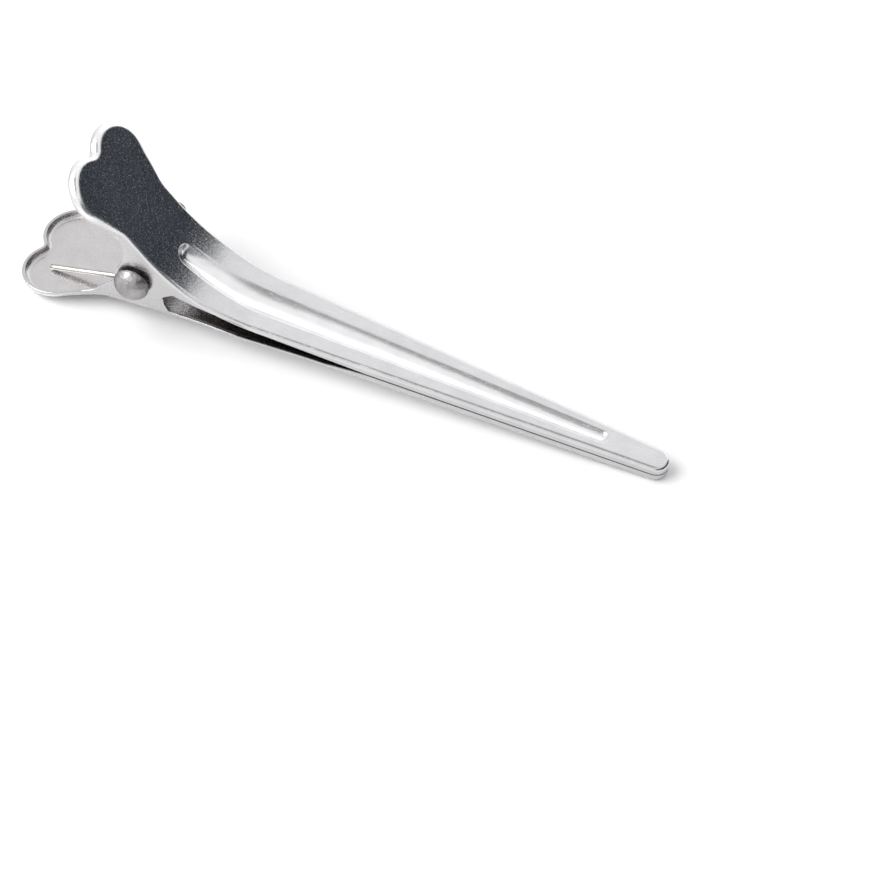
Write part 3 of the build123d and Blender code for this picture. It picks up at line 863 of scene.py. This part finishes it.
def metal(name, colour, rough, seed, mottle=0.04, dents=0.0, tones=()):
    """Bare metal with mottling, hairline scratches and fine grain, toned where a point value says; on the
    sheet most of these tones are painted shade and painted highlights.
    """
    mat = bpy.data.materials.new(name)
    mat.use_nodes = True
    tree = mat.node_tree
    shader = tree.nodes["Principled BSDF"]
    shader.inputs["Metallic"].default_value = 1.0
    link = tree.links.new
    where = node(tree, "ShaderNodeTexCoord")
    shift = node(tree, "ShaderNodeMapping")
    shift.inputs["Location"].default_value = (seed, seed * 0.7, seed * 1.3)
    link(where.outputs["Object"], shift.inputs["Vector"])
    place_on_metal = shift.outputs["Vector"]

    def noise(scale, detail, roughness=0.5, source=place_on_metal):
        made = node(tree, "ShaderNodeTexNoise")
        made.inputs["Scale"].default_value = scale
        made.inputs["Detail"].default_value = detail
        made.inputs["Roughness"].default_value = roughness
        link(source, made.inputs["Vector"])
        return made.outputs["Fac"]

    def spread(source, low, high, at_low, at_high):
        made = node(tree, "ShaderNodeMapRange")
        made.inputs["From Min"].default_value = low
        made.inputs["From Max"].default_value = high
        made.inputs["To Min"].default_value = at_low
        made.inputs["To Max"].default_value = at_high
        link(source, made.inputs["Value"])
        return made.outputs["Result"]

    def combine(kind, first, second):
        made = node(tree, "ShaderNodeMath", operation=kind)
        link(first, made.inputs[0])
        link(second, made.inputs[1])
        return made.outputs[0]

    def scratches(bearing, scale, level):
        spin = node(tree, "ShaderNodeMapping")
        spin.inputs["Rotation"].default_value = (0, 0, bearing)
        spin.inputs["Scale"].default_value = (SCRATCH_STRETCH, 1.0, 1.0)
        link(place_on_metal, spin.inputs["Vector"])
        streaks = noise(scale, 2.0, 0.5, spin.outputs["Vector"])
        return spread(streaks, level, level + SCRATCH_EDGE, 0.0, 1.0)

    lines = scratches(*SCRATCHES[0])
    for setting in SCRATCHES[1:]:
        lines = combine("MAXIMUM", lines, scratches(*setting))

    tint = node(tree, "ShaderNodeMixRGB")
    tint.inputs["Color1"].default_value = (*[c * (1 - mottle) for c in colour], 1)
    tint.inputs["Color2"].default_value = (*[min(1, c * (1 + mottle)) for c in colour], 1)
    link(spread(noise(PATCH_SCALE, 5.0, 0.6), *PATCH_RANGE, 0.0, 1.0), tint.inputs["Fac"])
    shade = tint.outputs["Color"]
    # the point values' tones; on the sheet most of them paint shade and highlights
    for key, tone in tones:
        value = node(tree, "ShaderNodeAttribute", attribute_name=key)
        toned = node(tree, "ShaderNodeMixRGB", blend_type="MULTIPLY")
        toned.inputs["Color2"].default_value = (*tone, 1)
        link(value.outputs["Fac"], toned.inputs["Fac"])
        link(shade, toned.inputs["Color1"])
        shade = toned.outputs["Color"]
    link(shade, shader.inputs["Base Color"])

    least, most = (rough * share for share in FROST_SPREAD)
    frost = spread(noise(FROST_SCALE, 4.0, 0.75), *FROST_RANGE, least, most)
    link(combine("ADD", frost, spread(lines, 0, 1, 0.0, SCRATCH_ROUGHNESS)), shader.inputs["Roughness"])

    grain = spread(noise(GRAIN_SCALE, 3.0, 0.6), 0, 1, 0.0, GRAIN_HEIGHT)
    height = combine("ADD", grain, spread(lines, 0, 1, 0.0, -SCRATCH_DEPTH))
    height = combine("ADD", height, spread(noise(GRIT_SCALE, 4.0, 0.7), 0, 1, 0.0, GRIT_HEIGHT))
    height = combine("ADD", height, spread(noise(DENT_SCALE, 2.0), 0, 1, 0.0, dents))
    bump = node(tree, "ShaderNodeBump")
    bump.inputs["Strength"].default_value = BUMP_STRENGTH
    bump.inputs["Distance"].default_value = BUMP_HEIGHT
    link(height, bump.inputs["Height"])
    link(bump.outputs["Normal"], shader.inputs["Normal"])
    return mat


# ------------------------------------------------------------------ the pieces
upper = make_half(UPPER)
lower = make_half(LOWER)
rivet = make_rivet()
spring = make_spring()

# What the sheet's colour is multiplied by where each point value is 1: painted shade in the gap between the
# jaws and on the walls, a darker inside of the thumb pieces, and a dimming of all but the painted highlights
# on the lobes' rims and the channel's floor.
TONES = (
    # painted shade of the gap between the jaws
    ("painted_gap_shade", (0.24, 0.23, 0.215)),
    ("inner_thumb", (0.86, 0.84, 0.835)),
    # dims all but the painted highlights on the lobes' rims and the channel's floor
    ("plain", (0.73, 0.73, 0.735)),
    # painted shade on the walls
    ("painted_wall_shade", (0.80, 0.79, 0.785)),
)
upper.data.materials.append(metal("upper_sheet", (0.96, 0.96, 0.965), 0.20, seed=1.0, tones=TONES))
lower.data.materials.append(metal("lower_sheet", (0.96, 0.955, 0.96), 0.28, seed=4.0, tones=TONES))
rivet.data.materials.append(
    metal("rivet_metal", (0.31, 0.30, 0.305), 0.36, mottle=0.3, dents=60.0, seed=7.0))
spring.data.materials.append(metal("spring_wire", (0.46, 0.45, 0.43), 0.16, seed=9.0))

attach(upper, "upper_body")
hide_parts("upper_half")
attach(lower, "lower_body")
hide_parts("lower_half")
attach(rivet, "lower_body")
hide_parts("rivet")
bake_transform(spring)
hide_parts("torsion_spring")


# ------------------------------------------------------------------ floor, light and camera
FLOOR_REACH = 1.5                # metres, each way from the middle
FLOOR_COLOUR = (0.93, 0.93, 0.93)
KEY_AT = (-0.66, -0.36, 0.72)    # metres; the key light looks at the origin
KEY_SIZE = 0.9
KEY_POWER = 10.0


def make_floor():
    """A plain pale floor under the clip."""
    mesh = bpy.data.meshes.new("floor")
    corners = [(x * FLOOR_REACH, y * FLOOR_REACH, 0) for x, y in ((-1, -1), (1, -1), (1, 1), (-1, 1))]
    mesh.from_pydata(corners, [], [(0, 1, 2, 3)])
    floor = bpy.data.objects.new("floor", mesh)
    bpy.context.scene.collection.objects.link(floor)
    mat = bpy.data.materials.new("floor")
    mat.use_nodes = True
    shader = mat.node_tree.nodes["Principled BSDF"]
    shader.inputs["Base Color"].default_value = (*FLOOR_COLOUR, 1)
    shader.inputs["Roughness"].default_value = 0.9
    mesh.materials.append(mat)


def make_key_light():
    """A large soft lamp, high on the near left."""
    data = bpy.data.lights.new("key", "AREA")
    data.shape = "RECTANGLE"
    data.size, data.size_y = KEY_SIZE, KEY_SIZE
    data.energy = KEY_POWER
    lamp = bpy.data.objects.new("key", data)
    lamp.location = KEY_AT
    lamp.rotation_euler = (-Vector(KEY_AT)).to_track_quat("-Z", "Y").to_euler()
    bpy.context.scene.collection.objects.link(lamp)


# Patches of the surroundings: direction, radiance, and the cosines where each fades out and is full.
SURROUNDINGS = (
    ((-0.15, 0.87, 0.47), (1.35, 1.35, 1.37), 0.925, 0.985),
    ((0.27, 0.96, 0.04), (1.45, 1.45, 1.48), 0.90, 0.965),
    ((-0.12, -0.25, 0.96), (0.42, 0.415, 0.415), 0.86, 0.95),
    ((0.80, -0.52, 0.30), (0.18, 0.18, 0.20), 0.84, 0.93),
    ((0.93, 0.05, 0.36), (0.07, 0.075, 0.09), 0.87, 0.94),
    ((0.713, 0.617, 0.333), (0.030, 0.037, 0.048), 0.885, 0.945),
    ((0.22, 0.87, 0.40), (1.40, 1.40, 1.42), 0.945, 0.98),
)
BASE_LIGHT = (0.95, 0.95, 0.96)


def make_world():
    """Bright soft surroundings with white cards behind, a grey ceiling and dark panels past the tips."""
    world = bpy.data.worlds.new("studio")
    bpy.context.scene.world = world
    world.use_nodes = True
    tree = world.node_tree
    link = tree.links.new
    back = tree.nodes["Background"]
    where = node(tree, "ShaderNodeTexCoord")
    colour = None
    for direction, tone, fade, full in SURROUNDINGS:
        dot = node(tree, "ShaderNodeVectorMath", operation="DOT_PRODUCT")
        link(where.outputs["Generated"], dot.inputs[0])
        dot.inputs[1].default_value = Vector(direction).normalized()
        share = node(tree, "ShaderNodeMapRange", interpolation_type="SMOOTHSTEP")
        share.inputs["From Min"].default_value = fade
        share.inputs["From Max"].default_value = full
        link(dot.outputs["Value"], share.inputs["Value"])
        mix = node(tree, "ShaderNodeMix", data_type="RGBA")
        mix.inputs[7].default_value = (*tone, 1)
        link(share.outputs["Result"], mix.inputs["Factor"])
        if colour:
            link(colour, mix.inputs[6])
        else:
            mix.inputs[6].default_value = (*BASE_LIGHT, 1)
        colour = mix.outputs[2]
    link(colour, back.inputs["Color"])
    back.inputs["Strength"].default_value = 1.0


def make_camera():
    """The camera, aimed at AIM from a distance along its azimuth and elevation, then rolled."""
    a, e = radians(AZIMUTH), radians(ELEVATION)
    back = Vector((sin(a) * cos(e), -cos(a) * cos(e), sin(e)))
    data = bpy.data.cameras.new("camera")
    data.lens = LENS
    data.sensor_width = 36
    data.clip_start = 0.01
    camera = bpy.data.objects.new("camera", data)
    camera.location = Vector(AIM) * 0.001 + back * DISTANCE * 0.001
    turn = back.to_track_quat("Z", "Y").to_matrix().to_4x4()
    camera.rotation_euler = (turn @ Matrix.Rotation(radians(ROLL), 4, "Z")).to_euler()
    bpy.context.scene.collection.objects.link(camera)
    bpy.context.scene.camera = camera


make_floor()
make_world()
make_key_light()
make_camera()
bpy.context.scene.view_settings.view_transform = "Standard"
